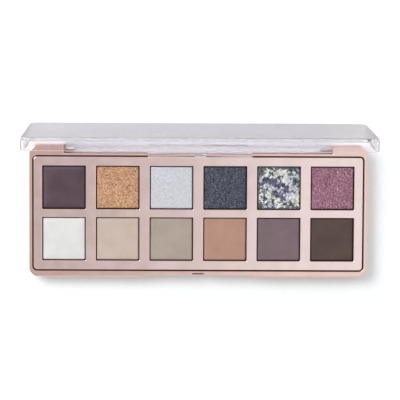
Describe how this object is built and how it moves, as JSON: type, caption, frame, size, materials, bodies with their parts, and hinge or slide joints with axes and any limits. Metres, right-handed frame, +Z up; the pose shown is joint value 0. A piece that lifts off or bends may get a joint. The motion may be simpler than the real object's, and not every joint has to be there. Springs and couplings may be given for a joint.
{
  "type": "eyeshadow palette",
  "caption": "Slim rectangular eyeshadow palette, metallised base with a grid of square pressed-powder pans under a clear tray-shaped lid hinged along the back.",
  "frame": {"origin": "middle of the base's rectangular footprint, on the surface it lies on", "axes": "+X to the right along the hinge, +Y towards the hinge at the back, +Z up; the lid stands open at rest"},
  "size_m": [0.16, 0.0727, 0.0652],
  "materials": {
    "rose_gold_plastic": "vacuum-metallised rose gold, polished",
    "clear_plastic": "clear, polished",
    "pan_metal": "pressed sheet, satin",
    "pin_steel": "drawn wire",
    "label_film": "blank printed film, satin",
    "hot_glue": "waxy",
    "powder_plum": "pressed matte powder, smooth",
    "powder_gold": "pressed shimmer powder, coarse glitter",
    "powder_silver": "pressed shimmer powder, fine glitter",
    "powder_midnight": "pressed shimmer powder, fine glitter",
    "powder_flake": "large pale and dark flakes set in a clear gel",
    "powder_berry": "pressed shimmer powder, fine glitter",
    "powder_white": "pressed matte powder",
    "powder_beige": "pressed matte powder",
    "powder_taupe": "pressed matte powder",
    "powder_terracotta": "pressed matte powder",
    "powder_mauve": "pressed matte powder",
    "powder_brown": "pressed matte powder"
  },
  "bodies": {
    "base": {"base_shell": "rose_gold_plastic", "shade_tray": "rose_gold_plastic", "bottom_label": "label_film", "hinge_pin_left": "pin_steel", "hinge_pin_right": "pin_steel", "glue_dot_plum": "hot_glue", "pan_plum": "pan_metal", "shade_plum": "powder_plum", "glue_dot_gold": "hot_glue", "pan_gold": "pan_metal", "shade_gold": "powder_gold", "glue_dot_silver": "hot_glue", "pan_silver": "pan_metal", "shade_silver": "powder_silver", "glue_dot_midnight": "hot_glue", "pan_midnight": "pan_metal", "shade_midnight": "powder_midnight", "glue_dot_flake": "hot_glue", "pan_flake": "pan_metal", "shade_flake": "powder_flake", "glue_dot_berry": "hot_glue", "pan_berry": "pan_metal", "shade_berry": "powder_berry", "glue_dot_white": "hot_glue", "pan_white": "pan_metal", "shade_white": "powder_white", "glue_dot_beige": "hot_glue", "pan_beige": "pan_metal", "shade_beige": "powder_beige", "glue_dot_taupe": "hot_glue", "pan_taupe": "pan_metal", "shade_taupe": "powder_taupe", "glue_dot_terracotta": "hot_glue", "pan_terracotta": "pan_metal", "shade_terracotta": "powder_terracotta", "glue_dot_mauve": "hot_glue", "pan_mauve": "pan_metal", "shade_mauve": "powder_mauve", "glue_dot_brown": "hot_glue", "pan_brown": "pan_metal", "shade_brown": "powder_brown"},
    "lid": {"clear_lid": "clear_plastic"}
  },
  "joints": [
    {"name": "lid_hinge", "type": "hinge", "parent": "base", "child": "lid", "pos_m": [0, 0.0293, 0.0034], "axis": [-1, 0, 0], "range_deg": [-86, 10]}
  ]
}
